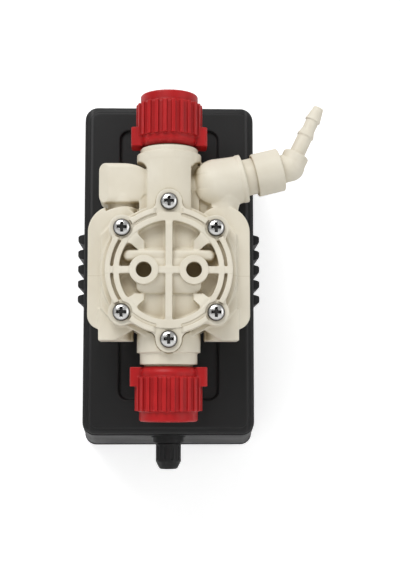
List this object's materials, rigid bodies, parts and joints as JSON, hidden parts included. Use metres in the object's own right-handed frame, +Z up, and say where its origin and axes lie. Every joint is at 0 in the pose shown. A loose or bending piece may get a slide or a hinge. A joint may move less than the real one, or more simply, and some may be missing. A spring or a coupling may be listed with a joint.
{
  "type": "dosing pump",
  "caption": "Wall-hung solenoid diaphragm dosing pump: flared black case, pale ribbed pump head, red union nuts top and bottom, angled bleed valve with hose tail, cable gland below.",
  "frame": {"origin": "centre of the rectangle of four wall inserts, on the rear cover's back face", "axes": "+Z up along the valve columns, +Y into the wall, so the pump head faces -Y; +X is the side of the bleed valve"},
  "size_m": [0.1478, 0.1619, 0.2262],
  "materials": {
    "case_plastic": "fine-grained black moulded plastic",
    "cream_plastic": "satin pale plastic, moulded",
    "red_plastic": "satin red moulded plastic",
    "white_plastic": "smooth turned plastic",
    "seal_rubber": "black rubber",
    "bright_steel": "bright stainless steel",
    "dull_steel": "plated steel",
    "insert_brass": "turned brass",
    "bush_bronze": "sintered bronze",
    "coil_copper": "enamelled copper winding",
    "board": "green circuit board and terminals",
    "ball_ceramic": "polished ceramic"
  },
  "bodies": {
    "case": {"front_lid": "case_plastic", "lid_seal": "seal_rubber", "housing_shell": "case_plastic", "rear_cover": "case_plastic", "rear_cover_seal": "seal_rubber", "rear_cover_screws": "bright_steel", "wall_inserts": "insert_brass", "control_board": "board", "terminal_block": "board", "gland_body": "case_plastic", "solenoid_yoke": "dull_steel", "solenoid_end_cap": "case_plastic", "coil_bobbin": "white_plastic", "solenoid_coil": "coil_copper", "pole_piece": "dull_steel", "front_bush": "bush_bronze", "rear_bush": "bush_bronze", "rear_stop": "seal_rubber", "return_spring": "bright_steel", "diaphragm": "seal_rubber", "head_backplate": "case_plastic", "pump_head": "cream_plastic", "head_cover": "cream_plastic", "head_screws": "bright_steel", "suction_cartridge": "white_plastic", "suction_seats": "seal_rubber", "discharge_cartridge": "white_plastic", "discharge_seats": "seal_rubber"},
    "drive": {"armature": "dull_steel", "drive_rod": "bright_steel", "diaphragm_core": "dull_steel"},
    "lower_suction_ball": {"suction_lower_ball": "ball_ceramic"},
    "upper_suction_ball": {"suction_upper_ball": "ball_ceramic"},
    "lower_discharge_ball": {"discharge_lower_ball": "ball_ceramic"},
    "upper_discharge_ball": {"discharge_upper_ball": "ball_ceramic"},
    "suction_fitting": {"suction_connector": "white_plastic", "suction_o_ring": "seal_rubber"},
    "suction_union": {"suction_nut": "red_plastic"},
    "discharge_fitting": {"discharge_connector": "white_plastic", "discharge_o_ring": "seal_rubber"},
    "discharge_union": {"discharge_nut": "red_plastic"},
    "bleed_valve": {"bleed_stem": "white_plastic", "bleed_o_ring": "seal_rubber"},
    "bleed_cap": {"bleed_nut": "cream_plastic"},
    "bleed_tail": {"bleed_elbow": "cream_plastic"},
    "gland_insert": {"gland_seal": "seal_rubber"},
    "gland_cap": {"gland_nut": "case_plastic"}
  },
  "joints": [
    {"name": "drive_stroke", "type": "slide", "parent": "case", "child": "drive", "axis": [0, -1, 0], "range_m": [0, 0.00125], "stiffness_N_per_m": 8000, "springref_m": -0.002, "deforming": ["return_spring", "diaphragm"]},
    {"name": "lower_suction_ball_lift", "type": "slide", "parent": "case", "child": "lower_suction_ball", "axis": [0, 0, 1], "range_m": [0, 0.0015]},
    {"name": "upper_suction_ball_lift", "type": "slide", "parent": "case", "child": "upper_suction_ball", "axis": [0, 0, 1], "range_m": [0, 0.0015]},
    {"name": "lower_discharge_ball_lift", "type": "slide", "parent": "case", "child": "lower_discharge_ball", "axis": [0, 0, 1], "range_m": [0, 0.0015]},
    {"name": "upper_discharge_ball_lift", "type": "slide", "parent": "case", "child": "upper_discharge_ball", "axis": [0, 0, 1], "range_m": [0, 0.0015]},
    {"name": "suction_fitting_travel", "type": "slide", "parent": "case", "child": "suction_fitting", "axis": [0, 0, -1], "range_m": [0, 0.009]},
    {"name": "suction_nut_turn", "type": "hinge", "parent": "suction_fitting", "child": "suction_union", "pos_m": [0, -0.137, -0.075], "axis": [0, 0, -1], "range_deg": [0, 1080]},
    {"name": "discharge_fitting_travel", "type": "slide", "parent": "case", "child": "discharge_fitting", "axis": [0, 0, 1], "range_m": [0, 0.009]},
    {"name": "discharge_nut_turn", "type": "hinge", "parent": "discharge_fitting", "child": "discharge_union", "pos_m": [0, -0.137, 0.082], "axis": [0, 0, 1], "range_deg": [0, 1080]},
    {"name": "bleed_valve_travel", "type": "slide", "parent": "case", "child": "bleed_valve", "axis": [0.9707, 0, 0.2402], "range_m": [0, 0.003]},
    {"name": "bleed_nut_turn", "type": "hinge", "parent": "bleed_valve", "child": "bleed_cap", "pos_m": [0.0436, -0.137, 0.0499], "axis": [0.9707, 0, 0.2402], "range_deg": [0, 540]},
    {"name": "bleed_tail_swivel", "type": "hinge", "parent": "bleed_valve", "child": "bleed_tail", "pos_m": [0.0436, -0.137, 0.0499], "axis": [0.9707, 0, 0.2402], "range_deg": [-180, 180]},
    {"name": "gland_insert_travel", "type": "slide", "parent": "case", "child": "gland_insert", "axis": [0, 0, -1], "range_m": [0, 0.003]},
    {"name": "gland_nut_turn", "type": "hinge", "parent": "gland_insert", "child": "gland_cap", "pos_m": [0, -0.09, -0.11], "axis": [0, 0, -1], "range_deg": [0, 720]}
  ],
  "couplings": [
    {"joint": "suction_fitting_travel", "follows": "suction_nut_turn", "m_per_rad": 0.00047746},
    {"joint": "discharge_fitting_travel", "follows": "discharge_nut_turn", "m_per_rad": 0.00047746},
    {"joint": "bleed_valve_travel", "follows": "bleed_nut_turn", "m_per_rad": 0.00031831},
    {"joint": "gland_insert_travel", "follows": "gland_nut_turn", "m_per_rad": 0.00023873}
  ]
}
